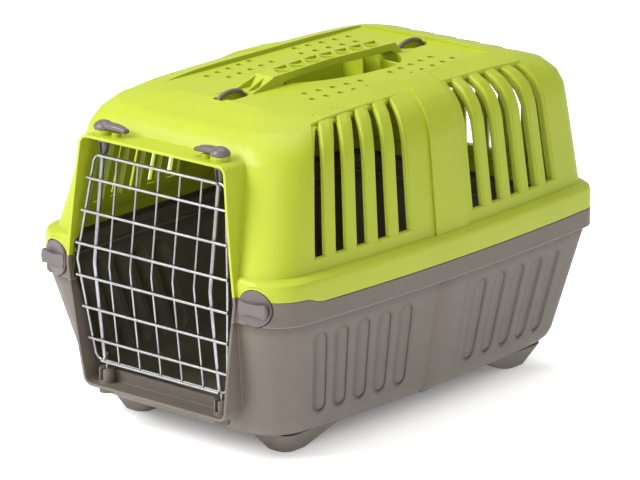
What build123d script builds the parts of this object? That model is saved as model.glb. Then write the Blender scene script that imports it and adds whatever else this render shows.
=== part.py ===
from build123d import *
from math import cos, pi, radians, sin, sqrt, tan
import os

# The door faces -Y, +Z is up and the feet stand on Z = 0. All sizes are in millimetres.

# Moulded shells
shell_wall = 2.6                # wall of both shells
seam_z = 178.7                  # seam between lid and tub along the sides and the rear
seam_front_z = 185              # the seam is higher round the door and its knobs
seam_step_front = -226          # where the step in the seam starts
seam_step_rear = -194           # and where it ends
seam_gap = 0.3                  # daylight between the two rims
rim_half_width = 183.5          # rims at the middle of the bowed sides
rim_front = 259                 # reach of the rims towards the door
rim_rear = 263.4                # and towards the rear
rim_front_corner = 42
rim_rear_corner = 27
side_bow = 12.5                 # the sides draw in this much towards their ends
end_bow = 3                     # the same for front and rear
widest_y = 8                    # where the sides are widest

# Lid: foot is a wall's reach at its base, crown its reach at the crown, slope the roof's fall
lid_base_z = 187
crown_z = 354.5
lid_side = dict(foot=174.5, lean=8.6, shoulder=52, crown=94, slope=15)
lid_front = dict(foot=257, lean=13.5, shoulder=45, crown=131, slope=10.2)
lid_rear = dict(foot=259, lean=2.6, shoulder=30, crown=178, slope=13)
lid_front_corner = 42
lid_rear_corner = 27
lid_corner_growth = 0.1         # the plan corners open out with height
shoulder_base_z = 300           # the walls are straight below this
shoulder_steps = 6              # ruled bands round the shoulder
skirt_top_z = 206               # rolled skirt of the lid above the seam
skirt_roll = 8                  # height of its rounded top
skirt_steps = 3
skirt_merge = 1                 # its roll ends this far inside the wall
lip_height = 5                  # lip inside the tub's rim that centres the lid
lip_thickness = 1.8
lip_play = 0.4
lip_overlap = 0.5               # the lip's root grows this far out of the rim's wall
deck_z = 350                    # sunk deck panel in the roof
deck_half_width = 91
deck_front = 155
deck_rear = 175

# Tub
band_height = 20                # plain band of the tub under the seam
tub_half_width = 180.5          # tub wall under the band
tub_front = 256
tub_rear = 257
tub_side_lean = 13.5
tub_front_lean = 13
tub_rear_lean = 9.5
floor_z = 21                    # underside of the tub's floor
heel_radius = 22                # rounded edge between wall and floor
heel_steps = 4
foot_x = 116                    # outer corner of each foot on the ground
foot_front_y = -186
foot_rear_y = 214
foot_length = 38                # ground contact along Y
foot_width = 32                 # ground contact along X
foot_corner = 12
foot_flare_out = 12             # the foot widens upwards by this much on its outer sides
foot_flare_x = 25               # and by this much on its inner sides
foot_flare_y = 48

# Door collar: a six-sided tube with rounded corners
collar_top_z = 317.5
collar_bottom_z = 47.5
collar_waist_z = 178
collar_top_half = 100
collar_waist_half = 117
collar_bottom_half = 98
collar_corner = 11
collar_wall = 3
collar_front = 264.5            # reach of its front edge at the waist
collar_bow = 11                 # the front edge curves back by this much
collar_bow_reach = 200          # at this distance above and below the bend
collar_root = 215               # how far back the tube is built before the cabin is cleared
doorway_step = 237              # in front of this the bore is full, behind it starts at the sill
sill_z = 63                     # threshold of the door opening

# Wire door
waist_bend_z = 183.5            # the door is bent forward about this line
door_front = 263.9              # reach of the cross wires at the bend
door_tilt = 6.9                 # lean of the door above and below its bend
upper_height = 112.2            # frame above and below the bend, measured along the door
lower_height = 110
frame_half_width = 104          # frame at the bend
frame_taper = 0.12              # how much narrower per millimetre from the bend
frame_corner = 9
frame_wire = 3
cross_wire = 3
upright_wire = 2.3
rod_wire = 4.7
row_pitch = 34.7
row_count = 6                   # evenly spaced rows, between the top and the bottom one
upright_pitch = 29.3
upright_count = 5
rod_x = 80                      # pivot rods, where either side can be the hinge
rod_top_z = 309                 # tips of their pins
rod_bottom_z = 54
pin_radius = 1.6                # the rods end in thinner pins
pin_overlap = 7                 # over this length pin and rod are one
wire_gap = 0.3                  # upright wires stop this short of the frame
rod_bend_radius = 18
cross_overhang = 1.2            # cross wires end this far outside the frame

# Door sockets, levers and their cups
socket_radius = 8.5
socket_top_z = 66
socket_bottom_z = 40
pin_play = 0.4                  # radial play of a rod end in a socket or cup
boss_radius = 10
boss_top_z = 323
stop_offset = 18                # small stop beside each boss
stop_radius = 5
stop_height = 5
lever_gap = 0.4
lever_head_radius = 10.5
lever_head_height = 8.5
lever_arm_width = 14            # the arm narrows from this at the head
lever_tip_width = 8
lever_arm_height = 6.5
lever_tip_height = 4
lever_length = 32
lever_tip_z = 322.5             # underside of the drooping tip, just over the stop
lever_stem_radius = 4.5
stem_play = 0.08                # running fit of a stem in its hole
cup_radius = 6.5                # it narrows downwards
cup_foot_radius = 4.5
spigot_depth = 2                # how deep a lever's spigot sits in its cup
cup_top_z = 312.5
cup_bottom_z = 298

# Rotary knobs that lock lid and tub together
knob_angle = 14                 # knobs face outwards by this much
knob_x = 137.7                  # where a knob's axis meets the rim
knob_y = -257.8
knob_sink = 3                   # its flat seat lies this far under the rim
seat_rim = 1                    # and is this much wider than the knob
seat_depth = 5.5                # material behind the seat
knob_z = 177
knob_radius = 19
knob_thickness = 4
knob_gap = 0.5
knob_edge = 1                   # its rim is rounded by this much
grip_height = 4.5
grip_waist = 5.5                # half its width in the middle, where it is pinched
grip_end = 9                    # and at the knob's edge
grip_inset = 0.4
grip_turn = -10                 # with the knob released, the grip leans outwards by this angle
grip_round = 1.5
knob_stem_radius = 3.2
spigot_size = 3.2               # square end of the stem, which carries the cam
cam_length = 18
cam_width = 6.5
cam_thickness = 3.5
cam_inset = 6.6                 # from the seat to the front of the cam
catch_inset = 5.9               # and to the front of the lid's catch
catch_thickness = 5
catch_wall = 3.4                # catch plate beside the cam
catch_play = 0.6

# Air slots and flutes
slot_width = 21
slot_pitch = 33
slots_per_group = 5
slot_first_y = 60               # from the middle of the side to the first slot
slot_middle_y = -1.5
slot_bottom_z = 217
slot_inner_x = 117              # the slots end here on the roof
slot_over = 10                  # cutters for slots and panels rise this far over the crown
slot_panel_wall = 8             # the slotted panels are this thick
slot_panel_margin = 6           # and reach this far beyond the slots
fan_wall_x = 170                # the walls' place at the foot of the slots
fan_outer_x = 190
fan_shift = 19                  # in plan, slots run back by this much between wall and roof
fan_rate = 0.179                # and fan together by this share of their place along the side
rear_slot_pitch = 32
rear_slot_count = 5
rear_slot_inner_y = 208
pillar_front_y = -14            # raised pillar in the middle of each side
pillar_rear_y = 39
pillar_rise = 2
flute_width = 17
flute_depth = 1.3
flute_top_z = 143
flute_bottom_z = 50

# Carrying handle over its well, strap rings and vents
well_floor_z = 318
well_half_width = 46
well_waist = 38                 # half width nearer its ends
well_front = 62
well_rear = 110
handle_width = 25
handle_top_z = 364
handle_thickness = 8
handle_front = 100              # where its roots meet the deck
handle_rear = 122
handle_fall = 2.5               # the grip drops this much towards both roots
handle_edge = 3                 # its edges are rounded by this much
handle_rail = 2.6               # rails along both sides of the lattice on the grip
lattice_front = -70
lattice_rear = 98
lattice_count = 14              # zigzag ribs cross the grip this many times
lattice_rib = 2
lattice_depth = 3
ring_wire = 5
ring_half_length = 21
ring_rise = 10
ring_front_y = -139
ring_rear_y = 150
ring_pivot_z = 344.5
ring_bend_radius = 4
ring_play = 0.4
pocket_depth = 9
pocket_near = 6                 # half width of the pocket behind the ring
pocket_far = 14                 # and the room in front, where the ring folds down
vent_radius = 4.3
vent_count = 5                  # holes in each row
vent_pitch = 19.6
vent_x = 67                     # middle of both rows
vent_row_gap = 20.5
vent_middle_y = 20.4
vent_reach = 69                 # from there to the middle of a group
vent_stagger = 12               # the outer row lies this much farther from the middle
vent_turn = 7                   # the rows run inwards at both ends of the well by this angle


def wall_reach(z, foot, lean, shoulder, crown, slope):
    """Reach of one lid wall at height z: leaning wall, round shoulder, then sloping roof."""
    wall, roof = radians(lean), radians(slope)
    wall_line = foot * cos(wall) + lid_base_z * sin(wall) - shoulder
    roof_line = crown * sin(roof) + crown_z * cos(roof) - shoulder
    centre = (wall_line * cos(roof) - roof_line * sin(wall)) / cos(wall + roof)
    centre_z = (roof_line * cos(wall) - wall_line * sin(roof)) / cos(wall + roof)
    if z <= centre_z + shoulder * sin(wall):
        return foot - (z - lid_base_z) * tan(wall)
    if z >= centre_z + shoulder * cos(roof):
        return crown + (crown_z - z) / tan(roof)
    return centre + sqrt(shoulder**2 - (z - centre_z) ** 2)


def plan_outline(z, half_width, front, rear, front_corner, rear_corner):
    """Bowed four-sided outline with rounded corners at height z."""
    end_width = half_width - side_bow
    with BuildSketch(Plane.XY.offset(z)) as outline:
        with BuildLine():
            ThreePointArc((end_width, -front), (half_width, widest_y), (end_width, rear))
            ThreePointArc((end_width, rear), (0, rear + end_bow), (-end_width, rear))
            ThreePointArc((-end_width, rear), (-half_width, widest_y), (-end_width, -front))
            ThreePointArc((-end_width, -front), (0, -front - end_bow), (end_width, -front))
        make_face()
        fillet(outline.vertices().group_by(Axis.Y)[0], front_corner)
        fillet(outline.vertices().group_by(Axis.Y)[-1], rear_corner)
    return outline.sketch


def rim_sizes(inset=0):
    """Half width, reaches and corner radii of the rims, drawn in by inset."""
    sizes = (rim_half_width, rim_front, rim_rear, rim_front_corner, rim_rear_corner)
    return [size - inset for size in sizes]


def lid_sizes(z, inset=0):
    """The same for the lid's wall at height z; an inset wall is the outer one moved in and down."""
    level = min(z + inset, crown_z)
    growth = lid_corner_growth * max(level - lid_base_z, 0)
    reaches = [wall_reach(level, **wall) for wall in (lid_side, lid_front, lid_rear)]
    corners = [lid_front_corner + growth, lid_rear_corner + growth / 2]
    return [size - inset for size in reaches + corners]


def tub_sizes(z, inset=0):
    """The same for the tub's wall below its band."""
    drop = seam_z - band_height - z
    reaches = [
        tub_half_width - drop * tan(radians(tub_side_lean)),
        tub_front - drop * tan(radians(tub_front_lean)),
        tub_rear - drop * tan(radians(tub_rear_lean)),
    ]
    return [size - inset for size in reaches + [rim_front_corner, rim_rear_corner]]


def lid_form(inset, bottom_z, top_z):
    """Ruled form of the lid from bottom_z to top_z."""
    turns = [sin(pi / 2 * step / shoulder_steps) for step in range(shoulder_steps)]
    levels = [shoulder_base_z + (crown_z - shoulder_base_z) * turn - inset for turn in turns]
    levels = [bottom_z] + [level for level in levels if level < top_z - 1] + [top_z]
    with BuildPart() as form:
        loft([plan_outline(z, *lid_sizes(z, inset)) for z in levels], ruled=True)
    return form.part


def skirt_form(inset, bottom_z):
    """The lid's skirt: upright at the seam, rolled over into the wall at its top."""
    rim = rim_sizes(inset)
    wall = [size - skirt_merge for size in lid_sizes(skirt_top_z, inset)]
    sections = [plan_outline(bottom_z, *rim)]
    for step in range(skirt_steps + 1):
        turn = pi / 2 * step / skirt_steps
        share = 1 - cos(turn)
        sizes = [a + (b - a) * share for a, b in zip(rim, wall)]
        sections.append(plan_outline(skirt_top_z - skirt_roll * (1 - sin(turn)) - inset, *sizes))
    with BuildPart() as form:
        loft(sections, ruled=True)
    return form.part


def tub_form(inset, top_z):
    """Ruled form of the tub from its floor up to top_z, with a rounded heel."""
    bottom = floor_z + inset
    heel = heel_radius - inset
    sections = [plan_outline(top_z, *tub_sizes(top_z, inset))]
    for step in range(heel_steps + 1):
        turn = pi / 2 * step / heel_steps
        z = bottom + heel * (1 - sin(turn))
        sizes = tub_sizes(z, inset + heel * (1 - cos(turn)))
        sections.append(plan_outline(z, *sizes[:3], *tub_sizes(z, inset)[3:]))
    with BuildPart() as form:
        loft(sections, ruled=True)
    return form.part


def foot_form(inset):
    """One foot, front right: a small pad that widens up into the tub's heel."""
    with BuildPart() as form:
        for z, flare_out, flare_x, flare_y in (
            (inset, 0, 0, 0),
            (floor_z + inset + 2, foot_flare_out, foot_flare_x, foot_flare_y),
        ):
            inner_x = foot_x - foot_width - flare_x + inset
            with BuildSketch(Plane.XY.offset(z)) as pad:
                with BuildLine():
                    Polyline(
                        (foot_x + flare_out - inset, foot_front_y - flare_out + inset),
                        (foot_x + flare_out - inset, foot_front_y + foot_length + flare_y - inset),
                        (inner_x, foot_front_y + foot_length + flare_y - inset),
                        (inner_x, foot_front_y - flare_out + inset),
                        close=True,
                    )
                make_face()
                fillet(pad.vertices(), foot_corner - inset)
        loft(ruled=True)
    return form.part


def all_feet(inset):
    """The four feet; the rear pair mirrors the front pair about the middle of the wheelbase."""
    middle = (foot_front_y + foot_rear_y) / 2
    with BuildPart() as feet:
        add(foot_form(inset))
        mirror(about=Plane.YZ)
        mirror(about=Plane.XZ.offset(-middle))
    return feet.part


def above_seam(gap):
    """Block above the seam, which steps down behind the front corners."""
    step_middle = (seam_step_front + seam_step_rear) / 2
    far, high = 1.5 * rim_rear, 1.5 * crown_z
    with BuildPart() as block:
        with BuildSketch(Plane.YZ):
            with BuildLine():
                front = Line((-far, seam_front_z + gap), (seam_step_front, seam_front_z + gap))
                step = Bezier(
                    front @ 1,
                    (step_middle, seam_front_z + gap),
                    (step_middle, seam_z + gap),
                    (seam_step_rear, seam_z + gap),
                )
                Polyline(step @ 1, (far, seam_z + gap), (far, high), (-far, high), front @ 0)
            make_face()
        extrude(amount=far, both=True)
    return block.part


def collar_outline(reach, inset, lowest_z=0):
    """Six-sided outline of the collar, drawn this far in front of the middle."""
    with BuildSketch(Plane.XZ.offset(reach)) as outline:
        with BuildLine():
            Polyline(
                (collar_top_half, collar_top_z),
                (collar_waist_half, collar_waist_z),
                (collar_bottom_half, collar_bottom_z),
                (-collar_bottom_half, collar_bottom_z),
                (-collar_waist_half, collar_waist_z),
                (-collar_top_half, collar_top_z),
                close=True,
            )
        make_face()
        fillet(outline.vertices(), collar_corner)
        if inset:
            offset(amount=-inset, mode=Mode.REPLACE)
        with Locations((0, lowest_z)):
            Rectangle(crown_z, crown_z, align=(Align.CENTER, Align.MIN), mode=Mode.INTERSECT)
    return outline.sketch


def knob_plane(side):
    """Plane on the seat of one knob; side is 1 on the right and -1 on the left."""
    turn = radians(knob_angle)
    outwards = Vector(side * sin(turn), -cos(turn), 0)
    rim_point = Vector(side * knob_x, knob_y, knob_z)
    return Plane(
        origin=rim_point - outwards * knob_sink,
        x_dir=(cos(turn), side * sin(turn), 0),
        z_dir=outwards,
    )


def fan_y(wall_y, x):
    """Where a line that leaves the side wall at wall_y passes x, seen from above."""
    shift = fan_shift - fan_rate * wall_y
    return wall_y + shift * (fan_wall_x - x) / (fan_wall_x - slot_inner_x)


def fan_strips(pairs, inner_x, bottom_z):
    """Upright blocks over both side walls, one for each pair of wall places (low y, high y)."""
    outer_x = fan_outer_x
    with BuildPart() as strips:
        with BuildSketch(Plane.XY.offset(bottom_z)):
            for low_y, high_y in pairs:
                with BuildLine():
                    Polyline(
                        (inner_x, fan_y(low_y, inner_x)),
                        (outer_x, fan_y(low_y, outer_x)),
                        (outer_x, fan_y(high_y, outer_x)),
                        (inner_x, fan_y(high_y, inner_x)),
                        close=True,
                    )
                make_face()
        extrude(amount=crown_z + slot_over - bottom_z)
        mirror(about=Plane.YZ)
    return strips.part


def slot_middle(group, index):
    """Where the middle of a slot meets the side wall; group is -1 in front and 1 at the rear."""
    return slot_middle_y + group * (slot_first_y + index * slot_pitch)


def slot_edges(group, index):
    """Wall places of both edges of a slot."""
    middle = slot_middle(group, index)
    return middle - slot_width / 2, middle + slot_width / 2


def rear_block(width, count, inner_y, bottom_z):
    """Upright blocks over the rear wall."""
    depth = rim_rear + 2 * end_bow - inner_y
    with BuildPart() as block:
        with BuildSketch(Plane.XY.offset(bottom_z)):
            with Locations((0, inner_y + depth / 2)):
                with GridLocations(rear_slot_pitch, 1, count, 1):
                    Rectangle(width, depth)
        extrude(amount=crown_z + slot_over - bottom_z)
    return block.part


def lid_cavity():
    """Room inside the lid: its slotted panels are thicker than the rest."""
    last = slots_per_group - 1
    panels = [
        (slot_edges(-1, last)[0] - slot_panel_margin, slot_edges(-1, 0)[1] + slot_panel_margin),
        (slot_edges(1, 0)[0] - slot_panel_margin, slot_edges(1, last)[1] + slot_panel_margin),
    ]
    panel_bottom_z = slot_bottom_z - slot_panel_margin
    rear_panel_width = rear_slot_pitch * (rear_slot_count - 1) + slot_width + 2 * slot_panel_margin
    with BuildPart() as cavity:
        add(lid_form(shell_wall, band_bottom_z, cabin_ceiling_z))
        add(fan_strips(panels, slot_inner_x - slot_panel_margin, panel_bottom_z), mode=Mode.SUBTRACT)
        add(
            rear_block(rear_panel_width, 1, rear_slot_inner_y - slot_panel_margin, panel_bottom_z),
            mode=Mode.SUBTRACT,
        )
        add(lid_form(slot_panel_wall, band_bottom_z, deck_z - slot_panel_wall))
    return cavity.part


def well_outline(grow):
    """Egg-shaped outline of the well under the handle, drawn at the deck."""
    with BuildSketch(Plane.XY.offset(deck_z)) as outline:
        with BuildLine():
            flank = ThreePointArc(
                (handle_width / 2, -well_front),
                (well_waist, -well_front * 0.1),
                (well_half_width, well_rear * 0.42),
            )
            tail = ThreePointArc(
                flank @ 1,
                (well_waist, well_rear * 0.82),
                (handle_width / 2, well_rear),
            )
            Line(tail @ 1, (0, well_rear))
            Line((0, -well_front), flank @ 0)
            mirror(about=Plane.YZ)
        make_face()
        if grow:
            offset(amount=grow, mode=Mode.REPLACE)
    return outline.sketch


def handle_profile(sink):
    """Side view of the handle, lowered by sink."""
    root_z, top_z = deck_z - 1 - sink, handle_top_z - sink
    with BuildSketch(Plane.YZ) as profile:
        with BuildLine():
            Polyline(
                (-handle_front, root_z),
                (-handle_front * 0.86, top_z - handle_fall),
                (0, top_z),
                (handle_rear * 0.9, top_z - handle_fall),
                (handle_rear, root_z),
                (well_rear, root_z),
                (well_rear - 6, top_z - handle_thickness - handle_fall),
                (0, top_z - handle_thickness),
                (-well_front - 6, top_z - handle_thickness - handle_fall),
                (-well_front - 12, root_z),
                close=True,
            )
        make_face()
    return profile.sketch


def lattice_pockets():
    """Cutters for the triangular pockets between the zigzag ribs on top of the grip."""
    step = (lattice_rear - lattice_front) / lattice_count
    reach = handle_width / 2 - handle_rail
    with BuildPart() as pockets:
        with BuildSketch(Plane.XY.offset(handle_top_z - lattice_depth - handle_fall)) as triangles:
            for index in range(lattice_count):
                y = lattice_front + (index + 0.5) * step
                turn = 1 if index % 2 else -1
                with BuildLine():
                    Polyline(
                        (-turn * reach, y - step + lattice_rib),
                        (-turn * reach, y + step - lattice_rib),
                        (turn * (reach - lattice_rib), y),
                        close=True,
                    )
                make_face()
        extrude(amount=lattice_depth + 2 * handle_fall)
        extrude(handle_profile(lattice_depth), amount=handle_width / 2, both=True, mode=Mode.SUBTRACT)
    return pockets.part


def pocket_outline(middle_y, grow):
    """Outline of the pocket in which a strap ring folds down."""
    end = ring_half_length + ring_play
    with BuildSketch(Plane.XY.offset(deck_z)) as outline:
        with BuildLine():
            Polyline(
                (-pocket_near, middle_y - end),
                (pocket_near, middle_y - end),
                (pocket_far, middle_y - end / 2),
                (pocket_far, middle_y + end / 2),
                (pocket_near, middle_y + end),
                (-pocket_near, middle_y + end),
                close=True,
            )
        make_face()
        if grow:
            offset(amount=grow, mode=Mode.REPLACE)
    return outline.sketch


def save(piece, name):
    """Name a finished piece and write its file."""
    piece.label = name
    export_step(piece, f"parts/{name}.step")


hands = ((-1, "left"), (1, "right"))
upright = (Align.CENTER, Align.CENTER, Align.MIN)
cabin_ceiling_z = deck_z - shell_wall
band_bottom_z = seam_z - band_height
band_over = seam_front_z - band_bottom_z + shell_wall
door_layer = (cross_wire + frame_wire) / 2
pin_y = (
    upper_height * sin(radians(door_tilt))
    + door_layer * cos(radians(door_tilt))
    + frame_wire / 2 + pin_radius - door_front
)

# Collar and doorway, shared by lid and tub
with BuildPart() as collar_tube:
    extrude(collar_outline(collar_root, 0), amount=collar_front - collar_root)
    with BuildSketch(Plane.YZ):
        with BuildLine():
            edge = ThreePointArc(
                (collar_bow - collar_front, waist_bend_z + collar_bow_reach),
                (-collar_front, waist_bend_z),
                (collar_bow - collar_front, waist_bend_z - collar_bow_reach),
            )
            Polyline(
                edge @ 1,
                (-2 * collar_front, waist_bend_z - collar_bow_reach),
                (-2 * collar_front, waist_bend_z + collar_bow_reach),
                edge @ 0,
            )
        make_face()
    extrude(amount=2 * collar_waist_half, both=True, mode=Mode.SUBTRACT)

with BuildPart() as doorway:
    extrude(collar_outline(doorway_step, collar_wall), amount=100)
    extrude(collar_outline(doorway_step, collar_wall, sill_z), amount=-100)

# Raised pillar between the two groups of slots
with BuildPart() as pillar:
    add(fan_strips([(pillar_front_y, pillar_rear_y)], deck_half_width, skirt_top_z - skirt_roll))
    add(lid_form(-pillar_rise, skirt_top_z - skirt_roll, crown_z), mode=Mode.INTERSECT)

# Lid: walls, skirt, collar and knob seats, hollowed in one go
with BuildPart() as top_shell:
    add(lid_form(0, skirt_top_z - skirt_roll, crown_z))
    add(skirt_form(0, band_bottom_z))
    add(collar_tube.part)
    add(pillar.part)
    add(lid_cavity(), mode=Mode.SUBTRACT)
    add(skirt_form(shell_wall, band_bottom_z), mode=Mode.SUBTRACT)
    add(doorway.part, mode=Mode.SUBTRACT)
    # seats of the knobs, deep enough to carry the catches
    for side, hand in hands:
        seat = knob_plane(side)
        with BuildSketch(seat):
            Circle(knob_radius + seat_rim)
        extrude(amount=-(catch_inset + catch_thickness))
        with BuildSketch(seat):
            Circle(knob_radius + seat_rim)
        extrude(amount=knob_thickness * 2, mode=Mode.SUBTRACT)
    # lever bosses on the collar and their stops
    for side, hand in hands:
        with Locations((side * rod_x, pin_y, collar_top_z - collar_wall)):
            Cylinder(boss_radius, boss_top_z - collar_top_z + collar_wall, align=upright)
        with Locations((side * (rod_x - stop_offset), pin_y, collar_top_z - 1)):
            Cylinder(stop_radius, stop_height, align=upright)
    # sunk deck and side slots
    with BuildSketch(Plane.XY.offset(deck_z)):
        with Locations((0, (deck_rear - deck_front) / 2)):
            Rectangle(2 * deck_half_width, deck_front + deck_rear)
    extrude(amount=handle_top_z - deck_z, mode=Mode.SUBTRACT)
    slots = [slot_edges(group, index) for group in (-1, 1) for index in range(slots_per_group)]
    add(fan_strips(slots, slot_inner_x, slot_bottom_z), mode=Mode.SUBTRACT)
    add(rear_block(slot_width, rear_slot_count, rear_slot_inner_y, slot_bottom_z), mode=Mode.SUBTRACT)
    # well under the handle
    extrude(well_outline(shell_wall), amount=well_floor_z - deck_z - shell_wall)
    extrude(well_outline(0), amount=well_floor_z - deck_z, mode=Mode.SUBTRACT)
    extrude(handle_profile(0), amount=handle_width / 2, both=True)
    add(lattice_pockets(), mode=Mode.SUBTRACT)
    # pockets and bearings of the strap rings
    for middle_y in (ring_front_y, ring_rear_y):
        extrude(pocket_outline(middle_y, shell_wall), amount=-pocket_depth - shell_wall)
        extrude(pocket_outline(middle_y, 0), amount=pocket_depth, both=True, mode=Mode.SUBTRACT)
        with BuildSketch(Plane.XZ.offset(-middle_y)):
            with Locations((0, ring_pivot_z)):
                Circle(ring_wire / 2 + stem_play)
        extrude(amount=ring_half_length + shell_wall, both=True, mode=Mode.SUBTRACT)
    # vents in two rows at each of the well's four corners
    with BuildSketch(Plane.XY.offset(deck_z)):
        for end in (-1, 1):
            for row in (-1, 1):
                x = vent_x + row * vent_row_gap / 2
                y = vent_middle_y + end * (vent_reach + row * vent_stagger / 2)
                with Locations(Location((x, y), end * vent_turn)):
                    with GridLocations(1, vent_pitch, 1, vent_count):
                        Circle(vent_radius)
        mirror(about=Plane.YZ)
    extrude(amount=-3 * shell_wall, mode=Mode.SUBTRACT)
    # cut at the seam, then drill for the levers
    add(above_seam(seam_gap), mode=Mode.INTERSECT)
    for side, hand in hands:
        with Locations((side * rod_x, pin_y, cup_top_z)):
            Cylinder(
                lever_stem_radius + stem_play, 2 * boss_radius, align=upright, mode=Mode.SUBTRACT
            )
    # catches hanging down behind the tub's rim
    cam_reach = cam_length / 2 + catch_play
    for side, hand in hands:
        catch = knob_plane(side).offset(-catch_inset)
        with BuildSketch(catch):
            with Locations((0, -cam_reach - catch_wall)):
                Rectangle(
                    2 * (cam_reach + catch_wall),
                    cam_reach + catch_wall + seam_front_z - knob_z + shell_wall,
                    align=(Align.CENTER, Align.MIN),
                )
        extrude(amount=-catch_thickness)
        with BuildSketch(catch.offset(catch_inset - seat_depth)):
            Circle(cam_reach)
            Rectangle(
                cam_width + 2 * catch_play, 3 * cam_reach, align=(Align.CENTER, Align.MAX)
            )
        extrude(amount=-4 * catch_thickness, mode=Mode.SUBTRACT)
save(top_shell.part, "top_shell")

# Shallow flutes down the tub's sides, under the slots and in line with them
with BuildPart() as flutes:
    for group in (-1, 1):
        for index in range(slots_per_group):
            middle = slot_middle(group, index)
            run = Vector(slot_inner_x - fan_wall_x, fan_y(middle, slot_inner_x) - middle, 0)
            with BuildSketch(Plane.YZ.offset(fan_wall_x)) as face:
                with Locations((middle, (flute_top_z + flute_bottom_z) / 2)):
                    SlotOverall(flute_top_z - flute_bottom_z, flute_width, rotation=90)
            extrude(face.sketch, amount=run.length, dir=run.normalized(), both=True)
    mirror(about=Plane.YZ)
    add(tub_form(flute_depth, band_bottom_z), mode=Mode.SUBTRACT)

# Lip that centres the lid along the sides and the rear
with BuildPart() as lip:
    lip_inset = shell_wall + lip_play
    lip_root = plan_outline(seam_z - 2 * lip_height, *rim_sizes(shell_wall - lip_overlap))
    lip_bore = plan_outline(seam_z - 2 * lip_height, *rim_sizes(lip_inset + lip_thickness))
    extrude(lip_root, amount=2 * lip_height)
    extrude(plan_outline(seam_z, *rim_sizes(lip_inset)), amount=lip_height)
    extrude(lip_bore, amount=3 * lip_height, mode=Mode.SUBTRACT)
    split(bisect_by=Plane.XZ.offset(-seam_step_rear), keep=Keep.BOTTOM)

# Tub: wall, band, feet and collar, hollowed in one go
with BuildPart() as bottom_shell:
    add(tub_form(0, band_bottom_z))
    add(flutes.part, mode=Mode.SUBTRACT)
    extrude(plan_outline(band_bottom_z, *rim_sizes()), amount=band_over)
    add(all_feet(0))
    add(collar_tube.part)
    add(tub_form(shell_wall, band_bottom_z + shell_wall), mode=Mode.SUBTRACT)
    band_bore = plan_outline(band_bottom_z + shell_wall, *rim_sizes(shell_wall))
    extrude(band_bore, amount=band_over, mode=Mode.SUBTRACT)
    add(all_feet(shell_wall), mode=Mode.SUBTRACT)
    add(doorway.part, mode=Mode.SUBTRACT)
    # knob seats with their holes
    for side, hand in hands:
        seat = knob_plane(side)
        with BuildSketch(seat):
            Circle(knob_radius + seat_rim)
        extrude(amount=-seat_depth)
        with BuildSketch(seat):
            Circle(knob_radius + seat_rim)
        extrude(amount=knob_thickness * 2, mode=Mode.SUBTRACT)
        with BuildSketch(seat):
            Circle(knob_stem_radius + stem_play)
        extrude(amount=-2 * seat_depth, mode=Mode.SUBTRACT)
    # sockets that hold the lower pins, open to the front
    for side, hand in hands:
        with Locations((side * rod_x, pin_y, socket_bottom_z)):
            Cylinder(socket_radius, socket_top_z - socket_bottom_z, align=upright)
        with BuildSketch(Plane.XY.offset(rod_bottom_z - pin_play)):
            with Locations((side * rod_x, pin_y)):
                Circle(pin_radius + pin_play)
                Rectangle(
                    2 * (pin_radius + pin_play), 2 * socket_radius, align=(Align.CENTER, Align.MAX)
                )
        extrude(amount=socket_top_z - socket_bottom_z, mode=Mode.SUBTRACT)
    add(above_seam(0), mode=Mode.SUBTRACT)
    add(lip.part)
save(bottom_shell.part, "bottom_shell")


def door_point(row, depth):
    """Point (y, z) of the door's profile: row along the door from its bend, depth behind it."""
    tilt = radians(door_tilt if row > 0 else -door_tilt)
    y = row * sin(tilt) + depth * cos(tilt) - door_front
    return y, waist_bend_z + row * cos(tilt) - depth * sin(tilt)


def door_half_width(row):
    return frame_half_width - frame_taper * abs(row)


def bent_wire(x, diameter, bend_radius):
    """Upright wire just behind the cross wires, which follows the door's bend."""
    depth = (cross_wire + diameter) / 2
    stop = frame_wire / 2 + wire_gap
    bend = (depth / cos(radians(door_tilt)) - door_front, waist_bend_z)
    with BuildPart() as wire:
        with BuildLine(Plane.YZ.offset(x)) as path:
            FilletPolyline(
                door_point(stop - lower_height, depth),
                bend,
                door_point(upper_height - stop, depth),
                radius=bend_radius,
            )
        with BuildSketch(path.line ^ 0):
            Circle(diameter / 2)
        sweep()
    return wire.part


def half_frame(height):
    """Upper half of the frame wire, cut level with the bend so that two halves meet flush."""
    lean = radians(door_tilt)
    middle = Plane(
        origin=(0, -door_front, waist_bend_z), x_dir=(1, 0, 0), z_dir=(0, -cos(lean), sin(lean))
    )
    start = -frame_corner
    with BuildPart() as half:
        with BuildLine(middle.offset(-door_layer)) as path:
            FilletPolyline(
                (frame_half_width - frame_taper * start, start),
                (door_half_width(height), height),
                (-door_half_width(height), height),
                (frame_taper * start - frame_half_width, start),
                radius=frame_corner,
            )
        with BuildSketch(path.line ^ 0):
            Circle(frame_wire / 2)
        sweep()
        split(bisect_by=Plane.XY.offset(waist_bend_z), keep=Keep.TOP)
    return half.part


# Door: frame wire, cross wires, upright wires and the two pivot rods
with BuildPart() as door_frame_wire:
    add(half_frame(upper_height))
    add(mirror(half_frame(lower_height), about=Plane.XY.offset(waist_bend_z), mode=Mode.PRIVATE))
save(door_frame_wire.part, "door_frame_wire")

inner_rows = [(index - (row_count - 1) / 2) * row_pitch for index in range(row_count)]
for number, row in enumerate([-lower_height] + inner_rows + [upper_height], 1):
    overhang = frame_wire / 2 + cross_overhang if row in inner_rows else -frame_corner
    half_length = door_half_width(row) + overhang
    with BuildPart() as cross:
        with BuildSketch(Plane.YZ):
            with Locations(door_point(row, 0)):
                Circle(cross_wire / 2)
        extrude(amount=half_length, both=True)
    save(cross.part, f"cross_wire_{number}")

for index in range(upright_count):
    x = (index - (upright_count - 1) / 2) * upright_pitch
    save(bent_wire(x, upright_wire, rod_bend_radius), f"upright_wire_{index + 1}")

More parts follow.
